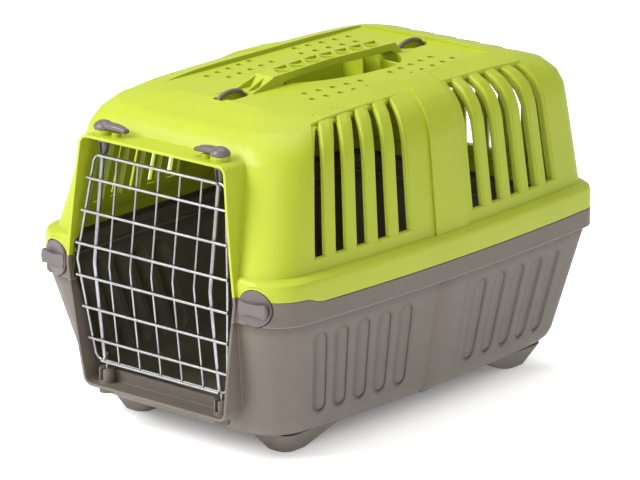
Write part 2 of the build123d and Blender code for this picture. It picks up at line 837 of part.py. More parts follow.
for side, hand in hands:
    pin_room = frame_wire / 2 + wire_gap + pin_overlap
    with BuildPart() as door_rod:
        add(bent_wire(side * rod_x, rod_wire, rod_bend_radius))
        lower_end = door_point(pin_room - lower_height, 0)[1]
        upper_end = door_point(upper_height - pin_room, 0)[1]
        with Locations((side * rod_x, pin_y, rod_bottom_z)):
            Cylinder(pin_radius, lower_end - rod_bottom_z, align=upright)
        with Locations((side * rod_x, pin_y, upper_end)):
            Cylinder(pin_radius, rod_top_z - upper_end, align=upright)
    save(door_rod.part, f"door_rod_{hand}")

def lever_section(side, out, width, height, bottom_z):
    """Rounded cross section of a lever's arm, this far from its axis."""
    with BuildSketch(Plane.YZ.offset(side * (rod_x - out))) as section:
        with Locations((pin_y, bottom_z + height / 2)):
            RectangleRounded(width, height, height / 2 - 0.2)
    return section.sketch


# Levers on the collar with the cups that hold the upper pins
lever_base_z = boss_top_z + lever_gap
for side, hand in hands:
    with BuildPart() as door_lever:
        # domed head
        with BuildSketch(Plane.XZ.offset(-pin_y)):
            with BuildLine():
                dome = ThreePointArc(
                    (side * rod_x, lever_base_z + lever_head_height),
                    (side * (rod_x + 0.72 * lever_head_radius), lever_base_z + 0.72 * lever_head_height),
                    (side * (rod_x + lever_head_radius), lever_base_z + 0.3 * lever_head_height),
                )
                Polyline(
                    dome @ 1,
                    (side * (rod_x + lever_head_radius), lever_base_z),
                    (side * rod_x, lever_base_z),
                    dome @ 0,
                )
            make_face()
        revolve(axis=Axis((side * rod_x, pin_y, 0), (0, 0, 1)))
        # arm that droops to its tip
        loft(
            [
                lever_section(side, 0, lever_arm_width, lever_arm_height, lever_base_z),
                lever_section(
                    side, 0.55 * lever_length, lever_arm_width * 0.9, lever_arm_height, lever_base_z
                ),
                lever_section(
                    side, 0.8 * lever_length, lever_tip_width * 1.2, lever_arm_height, lever_tip_z
                ),
                lever_section(side, lever_length, lever_tip_width, lever_tip_height, lever_tip_z),
            ],
            ruled=True,
        )
        with Locations((side * rod_x, pin_y, cup_top_z)):
            Cylinder(lever_stem_radius, lever_base_z - cup_top_z, align=upright)
        with Locations((side * rod_x, pin_y, cup_top_z)):
            Box(spigot_size, spigot_size, 2 * spigot_depth)
    save(door_lever.part, f"door_lever_{hand}")

    with BuildPart() as lever_cup:
        with Locations((side * rod_x, pin_y, cup_bottom_z)):
            Cone(cup_foot_radius, cup_radius, cup_top_z - cup_bottom_z, align=upright)
        with BuildSketch(Plane.XY.offset(cup_bottom_z)):
            with Locations((side * rod_x, pin_y)):
                Circle(pin_radius + pin_play)
                Rectangle(
                    2 * (pin_radius + pin_play), 2 * cup_radius, align=(Align.CENTER, Align.MAX)
                )
        extrude(amount=rod_top_z + pin_play - cup_bottom_z, mode=Mode.SUBTRACT)
        with Locations((side * rod_x, pin_y, cup_top_z)):
            Box(spigot_size, spigot_size, 2 * spigot_depth, mode=Mode.SUBTRACT)
    save(lever_cup.part, f"lever_cup_{hand}")

# Knobs and the cams on their stems
for side, hand in hands:
    seat = knob_plane(side)
    with BuildPart() as latch_knob:
        with BuildSketch(seat.offset(knob_gap)):
            Circle(knob_radius)
        extrude(amount=knob_thickness)
        outer_face = latch_knob.faces().sort_by(Axis(seat.origin, seat.z_dir))[-1]
        fillet(outer_face.edges(), knob_edge)
        grip_plane = seat.offset(knob_gap + knob_thickness).rotated((0, 0, side * grip_turn))
        with BuildSketch(grip_plane):
            with BuildLine():
                for edge in (-1, 1):
                    ThreePointArc(
                        (-knob_radius, edge * grip_end), (0, edge * grip_waist), (knob_radius, edge * grip_end)
                    )
                for end in (-knob_radius, knob_radius):
                    Line((end, -grip_end), (end, grip_end))
            make_face()
            Circle(knob_radius - knob_edge - grip_inset, mode=Mode.INTERSECT)
        extrude(amount=grip_height)
        grip_top = latch_knob.faces().sort_by(Axis(seat.origin, seat.z_dir))[-1]
        fillet(grip_top.edges(), grip_round)
        with BuildSketch(seat.offset(knob_gap)):
            Circle(knob_stem_radius)
        extrude(amount=-(knob_gap + cam_inset))
        with BuildSketch(seat.offset(-cam_inset)):
            Rectangle(spigot_size, spigot_size)
        extrude(amount=-cam_thickness)
    save(latch_knob.part, f"latch_knob_{hand}")

    with BuildPart() as latch_cam:
        with BuildSketch(seat.offset(-cam_inset)) as cam:
            Rectangle(cam_width, cam_length)
            fillet(cam.vertices(), cam_width / 2 - 0.5)
            Rectangle(spigot_size, spigot_size, mode=Mode.SUBTRACT)
        extrude(amount=-cam_thickness)
    save(latch_cam.part, f"latch_cam_{hand}")

# Strap rings in their pockets
for middle_y, end in ((ring_front_y, "front"), (ring_rear_y, "rear")):
    foot = ring_half_length - ring_wire / 2
    tip = ring_half_length + shell_wall - stem_play
    arch = foot - ring_wire
    with BuildPart() as strap_ring:
        with BuildLine(Plane.YZ) as path:
            FilletPolyline(
                (middle_y - tip, ring_pivot_z),
                (middle_y - foot, ring_pivot_z),
                (middle_y - arch, ring_pivot_z + ring_rise),
                (middle_y + arch, ring_pivot_z + ring_rise),
                (middle_y + foot, ring_pivot_z),
                (middle_y + tip, ring_pivot_z),
                radius=ring_bend_radius,
            )
        with BuildSketch(path.line ^ 0):
            Circle(ring_wire / 2)
        sweep()
    save(strap_ring.part, f"strap_ring_{end}")
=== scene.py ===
import math

import bmesh
import bpy
from mathutils import Matrix, Vector


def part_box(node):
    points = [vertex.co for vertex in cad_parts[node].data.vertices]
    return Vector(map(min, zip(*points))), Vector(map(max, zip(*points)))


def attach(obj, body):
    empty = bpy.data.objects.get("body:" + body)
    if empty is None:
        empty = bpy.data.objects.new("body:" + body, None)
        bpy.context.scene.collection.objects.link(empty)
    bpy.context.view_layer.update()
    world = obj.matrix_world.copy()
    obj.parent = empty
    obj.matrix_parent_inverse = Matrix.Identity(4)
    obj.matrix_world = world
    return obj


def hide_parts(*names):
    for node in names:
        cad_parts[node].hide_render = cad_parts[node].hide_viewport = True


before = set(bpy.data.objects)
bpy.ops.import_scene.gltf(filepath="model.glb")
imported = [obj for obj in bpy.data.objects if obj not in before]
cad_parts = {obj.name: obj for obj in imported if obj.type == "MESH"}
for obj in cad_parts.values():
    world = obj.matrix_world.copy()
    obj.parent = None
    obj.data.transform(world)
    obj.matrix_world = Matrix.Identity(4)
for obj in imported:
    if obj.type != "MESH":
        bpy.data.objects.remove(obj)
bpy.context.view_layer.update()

# Camera and light: the carrier stands on a pale sweep in soft daylight from the upper left,
# seen with a long lens from the front right, slightly from above.
CAMERA_TARGET = Vector((0, 0.00155, 0.16407))
CAMERA_DISTANCE = 4.6728
AZIMUTH = math.radians(40.72)
ELEVATION = math.radians(16.47)
LENS = 247.65                   # focal length and sensor in mm
SENSOR = 36
CLIP_END = 100
LAMP_TARGET = Vector((0, 0, 0.17))
DAYLIGHT = 0.5                  # strength of the light from all round

towards_camera = Vector((
    math.cos(ELEVATION) * math.sin(AZIMUTH),
    -math.cos(ELEVATION) * math.cos(AZIMUTH),
    math.sin(ELEVATION),
))
camera_data = bpy.data.cameras.new("camera")
camera_data.sensor_width = SENSOR
camera_data.lens = LENS
camera_data.clip_end = CLIP_END
camera = bpy.data.objects.new("camera", camera_data)
camera.location = CAMERA_TARGET + towards_camera * CAMERA_DISTANCE
camera.rotation_euler = (-towards_camera).to_track_quat("-Z", "Y").to_euler()
bpy.context.collection.objects.link(camera)
bpy.context.scene.camera = camera


def softbox(name, place, size, power, colour):
    """Square area light aimed at the carrier."""
    data = bpy.data.lights.new(name, "AREA")
    data.size = size
    data.energy = power
    data.color = colour
    lamp = bpy.data.objects.new(name, data)
    lamp.location = place
    lamp.rotation_euler = (LAMP_TARGET - Vector(place)).to_track_quat("-Z", "Y").to_euler()
    bpy.context.collection.objects.link(lamp)


softbox("key", (-0.9, -1.9, 1.9), 1.3, 78, (1, 0.995, 0.98))
softbox("side", (1.5, -2.4, 1.5), 0.7, 13, (1, 1, 0.99))
softbox("top", (-0.1, 0.3, 2.4), 1.6, 26, (1, 1, 1))

world = bpy.data.worlds.new("studio")
world.use_nodes = True
world.node_tree.nodes["Background"].inputs["Color"].default_value = (1, 1, 1, 1)
world.node_tree.nodes["Background"].inputs["Strength"].default_value = DAYLIGHT
bpy.context.scene.world = world
bpy.context.scene.view_settings.view_transform = "Standard"

# Moulded shells: lime lid and taupe tub in injection-moulded polypropylene. The mould was
# etched, so the faces have a fine satin grain; use has polished the edges, left short
# scratches on the sides and some dust low down. The paler colour on the rubbed edges is
# partly a painted highlight; the tub also has painted shade under its band and in the seam,
# and a painted highlight along the band's lower edge.
LIME = (0.37, 0.435, 0.016)     # each plastic's colour, its darker clouds and its paler colour for rubbed edges and painted highlights
LIME_DEEP = (0.335, 0.40, 0.013)
LIME_PALE = (0.55, 0.62, 0.12)
TAUPE = (0.132, 0.11, 0.0885)
TAUPE_DEEP = (0.114, 0.095, 0.077)
TAUPE_PALE = (0.25, 0.22, 0.19)
DUST = (0.22, 0.2, 0.175)
DUST_TOP = 0.09                 # it thins out up to this height
# painted shadow under the tub's rim band: its colour, and how far down it reaches
BAND_SHADOW = (0.05, 0.042, 0.034)
BAND_SHADOW_REACH = 0.013              # it reaches this far down under the band
# painted shade in the seam between tub and lid
SEAM_SHADE = (0.03, 0.026, 0.02)
SEAM_LINE = 0.0012              # height of the painted shade at the seam
HIGHLIGHT_LINE = 0.0013              # height of the painted highlight along the band's lower edge
LINE_SOFT = 0.0005              # soft edge of both
POLYPROPYLENE_IOR = 1.49
CLOUDS = 7.0                    # how fine each pattern is, in spots per metre
SCRATCH_PATCHES = 11.0
WAVES = 16.0
DUST_SPOTS = 26.0
RUBBED_SPOTS = 45.0
GLOSS_SPOTS = 55.0
GRAIN = 1500.0
SCRATCHES = (40, 40, 900)       # scratches are as fine as this along x, y and z
SLANTED_SCRATCHES = (700, 60, 60)
SCRATCH_SLANT = (0.4, 0.7, 0.3)
WAVE_DEPTH = 0.0012
SCRATCH_DEPTH = 0.00005
BAND_BOTTOM = 0.1587            # underside of the tub's rim band
SEAM = 0.1787                   # its top, where it meets the lid
STEP_END = -0.194               # in front of this the seam is higher
SIDE_MIDDLE = -0.0015           # middle of the side, between both groups of slots and flutes
SIDE_FIRST = 0.06               # from there to the first slot and the first flute
SIDE_PITCH = 0.033
SLOTS = 5                       # slots in a group, and flutes under them
FAN_WALL = 0.17                 # in plan, slots and flutes run back between this place
FAN_TOP = 0.117                 # and this one
FAN_SHIFT = 0.019               # by this much, and fan together by this share
FAN_RATE = 0.179
FLUTE_SHARE = 0.38              # half of a flute's soft width, as a share of the pitch
FLUTE_TOP = 0.134               # straight between these heights
FLUTE_BOTTOM = 0.059
FLUTE_END = 0.0125              # its rounded ends reach this much farther
FLUTE_DEPTH = 0.0045
FLUTE_SOFT = 0.02               # a group of flutes ends over this share of the pitch
MELT = 0.000002                 # points of a solid closer than this are one point
CREASE = math.radians(32)       # corners sharper than this stay sharp


def node(tree, kind, **values):
    """New shader node with its inputs or settings filled in."""
    made = tree.nodes.new(kind)
    for key, value in values.items():
        if key in made.inputs:
            made.inputs[key].default_value = value
        else:
            setattr(made, key, value)
    return made


def feed(tree, socket, value):
    """Link another socket to this one, or fill it with a colour or a number."""
    if isinstance(value, bpy.types.NodeSocket):
        tree.links.new(value, socket)
    elif isinstance(value, tuple):
        socket.default_value = (*value, 1)
    else:
        socket.default_value = value


def object_point(tree, scale=(1, 1, 1), turn=(0, 0, 0)):
    """Object coordinates, scaled and turned."""
    place = node(tree, "ShaderNodeTexCoord")
    mapping = node(tree, "ShaderNodeMapping", Scale=scale, Rotation=turn)
    tree.links.new(place.outputs["Object"], mapping.inputs["Vector"])
    return mapping.outputs["Vector"]


def mapped(tree, value, low, high, to_low=0.0, to_high=1.0):
    """Value between low and high, spread to another range and held inside it."""
    made = node(tree, "ShaderNodeMapRange", clamp=True)
    for key, number in (("From Min", low), ("From Max", high), ("To Min", to_low), ("To Max", to_high)):
        made.inputs[key].default_value = number
    tree.links.new(value, made.inputs["Value"])
    return made.outputs["Result"]


def chain(tree, value, *steps):
    """Value after steps of arithmetic, each an operation and the number or socket it works with."""
    for operation, *others in steps:
        made = node(tree, "ShaderNodeMath", operation=operation)
        tree.links.new(value, made.inputs[0])
        for other in others:
            feed(tree, made.inputs[1], other)
        value = made.outputs[0]
    return value


def product(tree, first, second):
    """First times second; second is a socket or a number."""
    return chain(tree, first, ("MULTIPLY", second))


def blended(tree, share, first, second):
    """Colour between first and second; each is a socket or a colour."""
    made = node(tree, "ShaderNodeMix", data_type="RGBA")
    tree.links.new(share, made.inputs[0])
    # the sockets for colours come after those for numbers and vectors
    feed(tree, made.inputs[6], first)
    feed(tree, made.inputs[7], second)
    return made.outputs[2]


def noise(tree, point, scale, detail=3.0, roughness=0.55):
    """Noise value at a point."""
    made = node(tree, "ShaderNodeTexNoise", Scale=scale, Detail=detail, Roughness=roughness)
    tree.links.new(point, made.inputs["Vector"])
    return made.outputs["Fac"]


def relief(tree, height, strength, depth, normal=None, invert=False):
    """Normal of a surface with this height on it, laid over another relief if there is one."""
    made = node(tree, "ShaderNodeBump", Strength=strength, Distance=depth, invert=invert)
    tree.links.new(height, made.inputs["Height"])
    if normal:
        tree.links.new(normal, made.inputs["Normal"])
    return made.outputs["Normal"]


def edges_worn_and_highlit(tree, radius):
    """Normal with softened edges, and how much of an edge there is."""
    soft = node(tree, "ShaderNodeBevel", samples=6, Radius=radius)
    plain = node(tree, "ShaderNodeNewGeometry")
    match = node(tree, "ShaderNodeVectorMath", operation="DOT_PRODUCT")
    tree.links.new(soft.outputs["Normal"], match.inputs[0])
    tree.links.new(plain.outputs["Normal"], match.inputs[1])
    return soft.outputs["Normal"], mapped(tree, match.outputs["Value"], 0.99, 0.8)


def scratches(tree, point):
    """Short scratches along two directions, only in some places."""
    patches = mapped(tree, noise(tree, point, SCRATCH_PATCHES, 2.0), 0.52, 0.7)
    level = noise(tree, object_point(tree, SCRATCHES), 1.0, 2.0)
    slanted = noise(tree, object_point(tree, SLANTED_SCRATCHES, SCRATCH_SLANT), 1.0, 2.0)
    strokes = chain(tree, mapped(tree, level, 0.7, 0.78), ("MAXIMUM", mapped(tree, slanted, 0.7, 0.78)))
    return product(tree, strokes, patches)


def flutes(tree, point):
    """Depth of the soft hollows down the tub's sides, in line with the air slots."""
    place = node(tree, "ShaderNodeSeparateXYZ")
    tree.links.new(point, place.inputs[0])
    height = place.outputs["Z"]
    away = chain(
        tree, place.outputs["X"], ("ABSOLUTE",), ("MULTIPLY", -1.0), ("ADD", FAN_WALL),
        ("DIVIDE", FAN_WALL - FAN_TOP),
    )
    shift = product(tree, away, FAN_SHIFT)
    spread = chain(tree, away, ("MULTIPLY", -FAN_RATE), ("ADD", 1.0))
    start = chain(tree, place.outputs["Y"], ("SUBTRACT", shift), ("DIVIDE", spread))
    along = chain(
        tree, start, ("ADD", -SIDE_MIDDLE), ("ABSOLUTE",), ("SUBTRACT", SIDE_FIRST - SIDE_PITCH / 2),
        ("DIVIDE", SIDE_PITCH),
    )
    across = chain(tree, along, ("FRACT",), ("SUBTRACT", 0.5), ("DIVIDE", FLUTE_SHARE), ("POWER", 2.0))
    over = chain(tree, height, ("SUBTRACT", FLUTE_TOP), ("MAXIMUM", 0.0))
    under = chain(tree, height, ("SUBTRACT", FLUTE_BOTTOM), ("MINIMUM", 0.0))
    left = chain(tree, across, ("MULTIPLY", -1.0), ("ADD", 1.0))
    for end in (over, under):
        left = chain(tree, left, ("SUBTRACT", chain(tree, end, ("DIVIDE", FLUTE_END), ("POWER", 2.0))))
    first = mapped(tree, along, 0.0, FLUTE_SOFT)
    last = mapped(tree, along, SLOTS - FLUTE_SOFT, SLOTS, 1.0, 0.0)
    return product(tree, mapped(tree, left, 0.0, 1.0), product(tree, first, last))


def tub_marks(tree, point, shade, pale, dust):
    """Shade with dust low down, a painted shadow under the band, a painted highlight along its lower edge
    and painted shade in the seam on top.
    """
    place = node(tree, "ShaderNodeSeparateXYZ")
    tree.links.new(point, place.inputs[0])
    height = place.outputs["Z"]
    low = mapped(tree, height, DUST_TOP, 0.0)
    film = product(tree, low, mapped(tree, noise(tree, point, DUST_SPOTS, 6.0, 0.7), 0.35, 0.75))
    shade = blended(tree, product(tree, film, dust), shade, DUST)
    # painted shadow just under the band's lower edge
    band_shadow = product(
        tree, mapped(tree, height, BAND_BOTTOM - BAND_SHADOW_REACH, BAND_BOTTOM - 0.0015),
        mapped(tree, height, BAND_BOTTOM, BAND_BOTTOM + 0.0003, 1.0, 0.0),
    )
    shade = blended(tree, product(tree, band_shadow, 0.6), shade, BAND_SHADOW)
    # painted shade along the seam on top of the band, behind the step
    seam = product(
        tree, mapped(tree, height, SEAM - SEAM_LINE, SEAM - SEAM_LINE + LINE_SOFT),
        mapped(tree, place.outputs["Y"], STEP_END, STEP_END + 0.004),
    )
    shade = blended(tree, product(tree, seam, 0.8), shade, SEAM_SHADE)
    # painted highlight along the band's lower edge, in the pale colour
    bead = product(
        tree, mapped(tree, height, BAND_BOTTOM - 0.0001, BAND_BOTTOM + 0.0001),
        mapped(tree, height, BAND_BOTTOM + HIGHLIGHT_LINE - LINE_SOFT, BAND_BOTTOM + HIGHLIGHT_LINE, 1.0, 0.0),
    )
    return blended(tree, product(tree, bead, 0.55), shade, pale)


def moulded(name, colour, deep, pale, roughness, grain_depth, dust=0.0, edge_radius=0.0009, fluted=False):
    """Satin moulded plastic with flow clouds, fine grain, waves, scratches and edges paler partly from
    wear and partly as a painted highlight.
    """
    material = bpy.data.materials.new(name)
    material.use_nodes = True
    tree = material.node_tree
    bsdf = tree.nodes["Principled BSDF"]
    bsdf.inputs["IOR"].default_value = POLYPROPYLENE_IOR
    point = object_point(tree)
    normal, edge = edges_worn_and_highlit(tree, edge_radius)
    scratch = scratches(tree, point)
    rubbed_and_highlit = product(tree, edge, mapped(tree, noise(tree, point, RUBBED_SPOTS, 4.0), 0.3, 0.7, 0.2, 1.0))

    shade = blended(tree, mapped(tree, noise(tree, point, CLOUDS, 4.0), 0.38, 0.72), colour, deep)
    shade = blended(tree, product(tree, scratch, 0.35), shade, pale)
    # rubbed edges are paler, partly as wear and partly as a painted highlight
    shade = blended(tree, product(tree, rubbed_and_highlit, 0.45), shade, pale)
    if dust:
        shade = tub_marks(tree, point, shade, pale, dust)
    tree.links.new(shade, bsdf.inputs["Base Color"])

    spots = noise(tree, object_point(tree, (1, 1, 5)), GLOSS_SPOTS, 6.0, 0.7)
    matt = chain(
        tree, mapped(tree, spots, 0.3, 0.7, roughness - 0.05, roughness + 0.09),
        ("ADD", product(tree, scratch, 0.18)), ("SUBTRACT", product(tree, rubbed_and_highlit, 0.1)),
    )
    tree.links.new(matt, bsdf.inputs["Roughness"])

    if fluted:
        normal = relief(tree, flutes(tree, point), 1.0, FLUTE_DEPTH, normal, invert=True)
    normal = relief(tree, noise(tree, point, WAVES, 1.0), 0.25, WAVE_DEPTH, normal)
    normal = relief(tree, noise(tree, point, GRAIN, 2.0), 0.4, grain_depth, normal)
    normal = relief(tree, scratch, 0.3, SCRATCH_DEPTH, normal, invert=True)
    tree.links.new(normal, bsdf.inputs["Normal"])
    return material


def wear(name, material):
    """Give a CAD node this material, and smooth shading over its shallow creases."""
    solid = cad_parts[name]
    solid.data.materials.clear()
    solid.data.materials.append(material)
    solid.modifiers.new("join", "WELD").merge_threshold = MELT
    solid.modifiers.new("corners", "EDGE_SPLIT").split_angle = CREASE
    solid.modifiers.new("smooth", "WEIGHTED_NORMAL").keep_sharp = False


lime = moulded("lime plastic", LIME, LIME_DEEP, LIME_PALE, 0.44, 0.00004)
taupe = moulded(
    "taupe plastic", TAUPE, TAUPE_DEEP, TAUPE_PALE, 0.5, 0.00005, dust=0.5, edge_radius=0.002, fluted=True
)
wear("top_shell", lime)
wear("bottom_shell", taupe)

# Floor: an endless white sweep of matt paper, lit from below like a product table, except
# under the tub, where the glow is left out as a painted shadow.
FLOOR_SIZE = 30
FLOOR_WHITE = (0.93, 0.93, 0.93, 1)
FLOOR_ROUGHNESS = 0.75
FLOOR_GLOW = 0.55
SHADE_X = 0.112                 # half sizes of the painted shadow under the tub
SHADE_Y = 0.185
SHADE_SOFT = 0.045
paper = bpy.data.materials.new("white sweep")
paper.use_nodes = True
paper_tree = paper.node_tree
paper_bsdf = paper_tree.nodes["Principled BSDF"]
paper_bsdf.inputs["Base Color"].default_value = FLOOR_WHITE
paper_bsdf.inputs["Roughness"].default_value = FLOOR_ROUGHNESS
paper_bsdf.inputs["Emission Color"].default_value = (1, 1, 1, 1)
paper_place = node(paper_tree, "ShaderNodeSeparateXYZ")
paper_tree.links.new(object_point(paper_tree), paper_place.inputs[0])
# how far a place is out of the painted shadow, across the carrier and along it
across, along = [
    mapped(
        paper_tree, chain(paper_tree, paper_place.outputs[axis], ("ABSOLUTE",)),
        half - SHADE_SOFT, half + SHADE_SOFT,
    )
    for axis, half in (("X", SHADE_X), ("Y", SHADE_Y))
]
# the paper glows everywhere except in the painted shadow under the tub
glow = chain(paper_tree, across, ("MAXIMUM", along), ("MULTIPLY", FLOOR_GLOW))
paper_tree.links.new(glow, paper_bsdf.inputs["Emission Strength"])

floor_mesh = bpy.data.meshes.new("floor")
shape = bmesh.new()
bmesh.ops.create_grid(shape, x_segments=1, y_segments=1, size=FLOOR_SIZE)
shape.to_mesh(floor_mesh)
shape.free()
floor_mesh.materials.append(paper)
floor = bpy.data.objects.new("floor", floor_mesh)
bpy.context.collection.objects.link(floor)

# Slot ribs: the bars between the air slots are moulded wider than the wall behind them, with
# rounded shoulders, so the openings look narrow from outside. They follow the lid's wall up
# and over onto the roof, and fan apart in plan on both sides.
RIB_HALF = 0.0083               # half a rib's width
RIB_DEPTH = 0.005
RIB_ROUND = 0.0022              # its shoulders are rounded by this much
RIB_SINK = 0.0002               # its face lies this far under the wall's
RIB_FOOT = 0.2155
RIB_BEND = 0.302                # the wall is straight up to this height
RIB_STEPS = 6                   # along the wall
ROOF_START = 0.0015             # the first point on the roof lies this far in from the wall
ROOF_STEPS = 7                  # along the roof, up to the round
HOOD_STEPS = 6                  # along the round
SHOULDER_STEPS = 4
RIB_TUCK = 0.1                  # an end rib keeps this share of its closed side, inside the wall
REAR_PITCH = 0.032
REAR_TOP = 0.208
TOP_SILL = 0.1155               # place of the sill over the slots
FOOT_SILL = 0.2145              # height of the one under them
SILL_HALF = 0.0048
SILL_STEPS = 12
BESIDE = 0.3                    # lines that look for a wall start here, clear of the carrier
BEHIND = 0.4
ABOVE = 0.5
CORE = Vector((0, 0, 0.1))      # a place inside the carrier
CORNER = math.radians(40)
lid_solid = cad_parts["top_shell"]
tub_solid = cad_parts["bottom_shell"]


def surface(origin, direction, solid=lid_solid):
    """Point where a line meets a solid."""
    return solid.ray_cast(Vector(origin), Vector(direction))[1]


def fan_place(start, x):
    """Where a rib that starts at this place along the side passes x in plan."""
    return start + (FAN_SHIFT - FAN_RATE * start) * (FAN_WALL - x) / (FAN_WALL - FAN_TOP)


def side_wall(start, first_height, last_height, steps, solid):
    """Points on the right wall, from one height to another along the fan line from this place."""
    points = []
    x = FAN_WALL
    for step in range(steps + 1):
        height = first_height + (last_height - first_height) * step / steps
        x = surface((BESIDE, fan_place(start, x), height), (-1, 0, 0), solid).x
        points.append(surface((BESIDE, fan_place(start, x), height), (-1, 0, 0), solid))
    return points


def hooded(first, last, pitch):
    """Places along the roof and half widths there; a rib spreads to close the slots in a round."""
    gap = pitch / 2 - RIB_HALF
    places = [first + (last + gap - first) * step / ROOF_STEPS for step in range(ROOF_STEPS)]
    halves = [RIB_HALF] * ROOF_STEPS
    for step in range(HOOD_STEPS + 1):
        turn = math.pi / 2 * step / HOOD_STEPS
        places.append(last + gap * (1 - math.sin(turn)))
        halves.append(RIB_HALF + gap * (1 - math.cos(turn)))
    return places, halves


def side_path(start):
    """Points up the right wall and over onto the roof along one rib, and its half widths."""
    points = side_wall(start, RIB_FOOT, RIB_BEND, RIB_STEPS, lid_solid)
    places, hood = hooded(points[-1].x - ROOF_START, FAN_TOP, SIDE_PITCH * (1 - FAN_RATE))
    roof = [surface((x, fan_place(start, x), ABOVE), (0, 0, -1)) for x in places]
    return points + roof, [RIB_HALF] * len(points) + hood


def rear_path(x):
    """The same over the rear wall."""
    heights = [RIB_FOOT + (RIB_BEND - RIB_FOOT) * step / RIB_STEPS for step in range(RIB_STEPS + 1)]
    points = [surface((x, BEHIND, height), (0, -1, 0)) for height in heights]
    places, hood = hooded(points[-1].y - ROOF_START, REAR_TOP, REAR_PITCH)
    roof = [surface((x, y, ABOVE), (0, 0, -1)) for y in places]
    return points + roof, [RIB_HALF] * len(points) + hood


def rib_outline(half, open_side):
    """Outline across a rib; at the end of a group only its open side stands free of the wall."""
    outline = [(-half, -RIB_DEPTH)]
    for side, order in ((-1, 1), (1, -1)):
        for step in range(SHOULDER_STEPS + 1)[::order]:
            turn = math.pi / 2 * step / SHOULDER_STEPS
            over = half - RIB_ROUND * (1 - math.cos(turn))
            outline.append((side * over, -RIB_ROUND * (1 - math.sin(turn))))
    outline.append((half, -RIB_DEPTH))
    if open_side:
        outline = [(a, b) if a * open_side > 0 else (a * RIB_TUCK, b - RIB_ROUND) for a, b in outline]
    return outline


def heading(points, index):
    """Direction of a row of points at one of them."""
    return (points[min(index + 1, len(points) - 1)] - points[max(index - 1, 0)]).normalized()


def swept(shape, sections):
    """Closed bar through cross-sections that have the same number of points."""
    face = shape.faces.new([shape.verts.new(point) for point in sections[0]])
    for section in sections[1:]:
        region = [face, *face.edges, *face.verts]
        made = bmesh.ops.extrude_face_region(shape, geom=region)["geom"]
        face = next(item for item in made if isinstance(item, bmesh.types.BMFace))
        for vert, point in zip(face.verts, section):
            vert.co = point


def strip(shape, points, outlines, level):
    """Closed bar along points on a wall, with an outline at each; level lies crosswise to it."""
    sections = []
    for index, place in enumerate(points):
        ahead = heading(points, index)
        across = (level - ahead * level.dot(ahead)).normalized()
        out = ahead.cross(across)
        if out.dot(place - CORE) < 0:
            out = -out
        sections.append([place + across * a + out * (b - RIB_SINK) for a, b in outlines[index]])
    swept(shape, sections)


def rib(shape, points, halves, level, open_side=0):
    """Bar with rounded shoulders; open_side is 1 or -1 along level at the end of a group."""
    strip(shape, points, [rib_outline(half, open_side) for half in halves], level)


def mirrored(points):
    """The same points on the left of the carrier."""
    return [Vector((-point.x, point.y, point.z)) for point in points]


def piece(name, shape, material, body):
    """Finished mesh as an object that rides on a body."""
    bmesh.ops.recalc_face_normals(shape, faces=shape.faces)
    mesh = bpy.data.meshes.new(name)
    shape.to_mesh(mesh)
    shape.free()
    mesh.materials.append(material)
    made = bpy.data.objects.new(name, mesh)
    bpy.context.collection.objects.link(made)
    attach(made, body)
    return made


def smooth_piece(name, shape, material, body):
    """The same with smooth shading between its corners."""
    for face in shape.faces:
        face.smooth = True
    made = piece(name, shape, material, body)
    made.modifiers.new("corners", "EDGE_SPLIT").split_angle = CORNER


ribs = bmesh.new()
for group in (-1, 1):
    starts = [
        SIDE_MIDDLE + group * (SIDE_FIRST + (number - 0.5) * SIDE_PITCH) for number in range(SLOTS + 1)
    ]
    for number, start in enumerate(starts):
        free = group * ((number == 0) - (number == SLOTS))
        path, halves = side_path(start)
        rib(ribs, path, halves, Vector((0, 1, 0)), free)
        rib(ribs, mirrored(path), halves, Vector((0, 1, 0)), free)
    # rounded sills above and below the slots
    spans = [starts[0] + (starts[-1] - starts[0]) * step / SILL_STEPS for step in range(SILL_STEPS + 1)]
    top = [surface((TOP_SILL, fan_place(span, TOP_SILL), ABOVE), (0, 0, -1)) for span in spans]
    foot = [surface((BESIDE, fan_place(span, FAN_WALL), FOOT_SILL), (-1, 0, 0)) for span in spans]
    for sill, level in ((top, Vector((1, 0, 0))), (foot, Vector((0, 0, 1)))):
        halves = [SILL_HALF] * len(sill)
        rib(ribs, sill, halves, level)
        rib(ribs, mirrored(sill), halves, level)
for number in range(SLOTS + 1):
    free = (number == 0) - (number == SLOTS)
    path, halves = rear_path((number - SLOTS / 2) * REAR_PITCH)
    rib(ribs, path, halves, Vector((1, 0, 0)), free)
smooth_piece("slot_ribs", ribs, lime, "lid")

# Tub pillars: flat raised strips in the middle of both sides, moulded in one with the tub, in
# line with the lid's pillars; they stiffen the wall between the two groups of flutes.
PILLAR_MIDDLE = 0.0095
PILLAR_HALF = 0.0235
PILLAR_EDGE = 0.0035            # its edges slope over this width
PILLAR_RISE = 0.0024
PILLAR_TOP = 0.1575
PILLAR_REACH = 0.004            # it runs this far up inside the band
PILLAR_FOOT = 0.03
PILLAR_STEPS = 14
pillar_outline = [
    (-PILLAR_HALF, -RIB_ROUND), (-PILLAR_HALF, 0), (PILLAR_EDGE - PILLAR_HALF, PILLAR_RISE),
    (PILLAR_HALF - PILLAR_EDGE, PILLAR_RISE), (PILLAR_HALF, 0), (PILLAR_HALF, -RIB_ROUND),
]
pillar_path = side_wall(PILLAR_MIDDLE, PILLAR_TOP, PILLAR_FOOT, PILLAR_STEPS, tub_solid)
pillar_path.insert(0, pillar_path[0] + Vector((0, 0, PILLAR_REACH)))
pillars = bmesh.new()
for path in (pillar_path, mirrored(pillar_path)):
    strip(pillars, path, [pillar_outline] * len(path), Vector((0, 1, 0)))
smooth_piece("tub_pillars", pillars, taupe, "bottom_shell")

